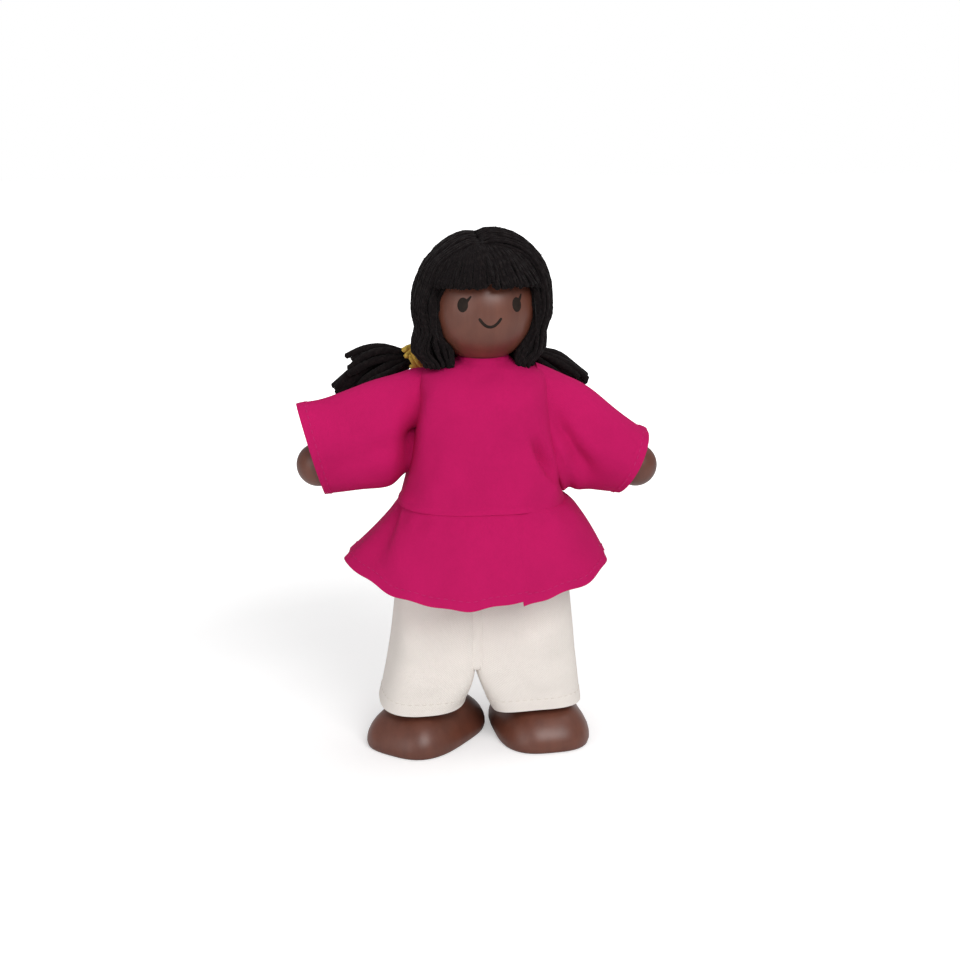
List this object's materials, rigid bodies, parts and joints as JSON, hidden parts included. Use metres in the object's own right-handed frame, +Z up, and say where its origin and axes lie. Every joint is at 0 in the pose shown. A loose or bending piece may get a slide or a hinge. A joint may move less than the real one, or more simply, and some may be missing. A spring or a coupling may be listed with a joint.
{
  "type": "dolls' house doll",
  "caption": "Bendy dolls' house doll with a wooden ball head, yarn pigtails, a magenta tunic and cream trousers, that turns its head and poses its arms and legs.",
  "frame": {"origin": "on the ground, under the middle of the doll's overall box", "axes": "+Z up, the doll faces -Y, its left side is towards +X"},
  "size_m": [0.0722, 0.0414, 0.1041],
  "materials": {
    "stained_wood": "brown stain under satin lacquer",
    "black_yarn": "soft black yarn",
    "yellow_yarn": "yellow yarn",
    "braided_cord": "braided cotton cord",
    "soft_wire": "annealed wire",
    "magenta_cotton": "plain woven cotton",
    "fastening": "hook-and-loop tape",
    "cream_cotton": "cotton twill",
    "elastic": "woven elastic"
  },
  "bodies": {
    "torso": {"torso": "stained_wood", "neck_peg": "stained_wood", "shoulder_cord_right": "braided_cord", "shoulder_cord_left": "braided_cord", "hip_cord_right": "braided_cord", "hip_cord_left": "braided_cord", "tunic_bodice": "magenta_cotton", "tunic_peplum": "magenta_cotton", "hook_strip": "fastening", "loop_strip": "fastening", "trouser_seat": "cream_cotton", "waist_elastic": "elastic"},
    "head": {"head": "stained_wood", "hair_crown": "black_yarn", "hair_fringe": "black_yarn", "hair_lock_right": "black_yarn", "hair_lock_left": "black_yarn", "pigtail_right": "black_yarn", "pigtail_left": "black_yarn", "hair_tie_right": "yellow_yarn", "hair_tie_left": "yellow_yarn"},
    "upper_arm_right": {"upper_arm_cord_right": "braided_cord", "elbow_cord_right": "braided_cord", "arm_wire_right": "soft_wire", "sleeve_right": "magenta_cotton"},
    "forearm_right": {"forearm_cord_right": "braided_cord", "hand_right": "stained_wood"},
    "thigh_right": {"thigh_cord_right": "braided_cord", "knee_cord_right": "braided_cord", "leg_wire_right": "soft_wire", "trouser_leg_right": "cream_cotton"},
    "shin_right": {"shin_cord_right": "braided_cord"},
    "foot_right": {"foot_right": "stained_wood"},
    "upper_arm_left": {"upper_arm_cord_left": "braided_cord", "elbow_cord_left": "braided_cord", "arm_wire_left": "soft_wire", "sleeve_left": "magenta_cotton"},
    "forearm_left": {"forearm_cord_left": "braided_cord", "hand_left": "stained_wood"},
    "thigh_left": {"thigh_cord_left": "braided_cord", "knee_cord_left": "braided_cord", "leg_wire_left": "soft_wire", "trouser_leg_left": "cream_cotton"},
    "shin_left": {"shin_cord_left": "braided_cord"},
    "foot_left": {"foot_left": "stained_wood"}
  },
  "joints": [
    {"name": "head_turn", "type": "hinge", "parent": "torso", "child": "head", "pos_m": [0, 0, 0.0789], "axis": [0, 0, 1], "range_deg": [-45, 45], "deforming": ["pigtail_right", "pigtail_left", "hair_tie_right", "hair_tie_left"]},
    {"name": "shoulder_lift_right", "type": "hinge", "parent": "torso", "child": "upper_arm_right", "pos_m": [-0.0125, 0, 0.0693], "axis": [0, 1, 0], "range_deg": [-22, 60], "deforming": ["shoulder_cord_right", "arm_wire_right", "sleeve_right"]},
    {"name": "elbow_bend_right", "type": "hinge", "parent": "upper_arm_right", "child": "forearm_right", "pos_m": [-0.02177, 0, 0.06437], "axis": [-0.4695, 0, 0.8829], "range_deg": [-15, 75], "deforming": ["elbow_cord_right"]},
    {"name": "hip_swing_right", "type": "hinge", "parent": "torso", "child": "thigh_right", "pos_m": [-0.007, 0, 0.0358], "axis": [-1, 0, 0], "range_deg": [-30, 90], "deforming": ["hip_cord_right", "leg_wire_right", "trouser_leg_right", "trouser_seat", "tunic_peplum"]},
    {"name": "knee_bend_right", "type": "hinge", "parent": "thigh_right", "child": "shin_right", "pos_m": [-0.012, 0, 0.023], "axis": [1, 0, 0], "range_deg": [0, 90], "deforming": ["knee_cord_right"]},
    {"name": "foot_turn_right", "type": "hinge", "parent": "shin_right", "child": "foot_right", "pos_m": [-0.012, 0, 0.0084], "axis": [0, 0, -1], "range_deg": [-39, 0]},
    {"name": "shoulder_lift_left", "type": "hinge", "parent": "torso", "child": "upper_arm_left", "pos_m": [0.0125, 0, 0.0693], "axis": [0, -1, 0], "range_deg": [-22, 60], "deforming": ["shoulder_cord_left", "arm_wire_left", "sleeve_left"]},
    {"name": "elbow_bend_left", "type": "hinge", "parent": "upper_arm_left", "child": "forearm_left", "pos_m": [0.02121, 0, 0.06343], "axis": [-0.5592, 0, -0.829], "range_deg": [-15, 75], "deforming": ["elbow_cord_left"]},
    {"name": "hip_swing_left", "type": "hinge", "parent": "torso", "child": "thigh_left", "pos_m": [0.007, 0, 0.0358], "axis": [-1, 0, 0], "range_deg": [-30, 90], "deforming": ["hip_cord_left", "leg_wire_left", "trouser_leg_left"]},
    {"name": "knee_bend_left", "type": "hinge", "parent": "thigh_left", "child": "shin_left", "pos_m": [0.012, 0, 0.023], "axis": [1, 0, 0], "range_deg": [0, 90], "deforming": ["knee_cord_left"]},
    {"name": "foot_turn_left", "type": "hinge", "parent": "shin_left", "child": "foot_left", "pos_m": [0.012, 0, 0.0084], "axis": [0, 0, 1], "range_deg": [-15, 3]}
  ]
}
